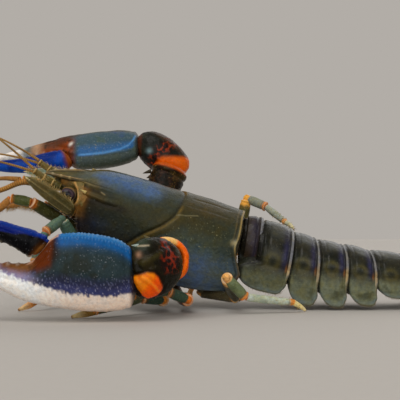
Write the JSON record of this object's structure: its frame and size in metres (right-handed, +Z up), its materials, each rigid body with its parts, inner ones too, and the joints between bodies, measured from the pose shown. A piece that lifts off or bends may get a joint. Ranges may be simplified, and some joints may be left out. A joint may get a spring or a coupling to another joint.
{
  "type": "crayfish figure",
  "caption": "Life-size still model of a blue-clawed cherax crayfish walking on the floor, one claw held low and one held high, tail stretched back.",
  "frame": {"origin": "middle of the bounding box seen from above, at the level of the floor under the toes", "axes": "+Z up; head towards -X, tail fan towards +X; the animal's left side faces -Y"},
  "size_m": [0.1736, 0.0896, 0.0549],
  "materials": {
    "shell": "semi-gloss",
    "claw_blue": "semi-gloss",
    "dark_joint": "satin",
    "orange": "satin",
    "leg_green": "satin",
    "olive": "satin",
    "pale_scale": "satin",
    "eye_black": "gloss"
  },
  "bodies": {
    "root": {"antenna_left_base": "olive", "antenna_left_scale": "olive", "antenna_left_whip": "orange", "antenna_right_base": "olive", "antenna_right_scale": "pale_scale", "antenna_right_whip": "orange", "antennule_left_inner": "orange", "antennule_left_outer": "orange", "antennule_left_stem": "olive", "antennule_right_inner": "orange", "antennule_right_outer": "orange", "antennule_right_stem": "olive", "arm_left_carpus": "orange", "arm_left_merus": "dark_joint", "arm_left_root": "dark_joint", "arm_right_carpus": "orange", "arm_right_merus": "dark_joint", "arm_right_root": "dark_joint", "breastplate": "olive", "carapace_head": "shell", "carapace_thorax": "shell", "claw_left": "claw_blue", "claw_right": "claw_blue", "eye_left": "eye_black", "eye_right": "eye_black", "eyestalk_left": "olive", "eyestalk_right": "olive", "finger_left": "claw_blue", "finger_right": "claw_blue", "leg_left_2_lower": "olive", "leg_left_2_upper": "leg_green", "leg_left_3_lower": "olive", "leg_left_3_upper": "leg_green", "leg_left_4_lower": "olive", "leg_left_4_upper": "leg_green", "leg_left_5_lower": "olive", "leg_left_5_upper": "leg_green", "leg_right_2_lower": "olive", "leg_right_2_upper": "leg_green", "leg_right_3_lower": "olive", "leg_right_3_upper": "leg_green", "leg_right_4_lower": "olive", "leg_right_4_upper": "leg_green", "leg_right_5_lower": "olive", "leg_right_5_upper": "leg_green", "maxilliped_left": "olive", "maxilliped_right": "olive", "mouth": "olive", "tail_fan_left_inner": "shell", "tail_fan_left_outer": "shell", "tail_fan_right_inner": "shell", "tail_fan_right_outer": "shell", "tail_ring_1": "shell", "tail_ring_2": "shell", "tail_ring_3": "shell", "tail_ring_4": "shell", "tail_ring_5": "shell", "tail_ring_6": "shell", "telson": "shell"}
  },
  "joints": []
}
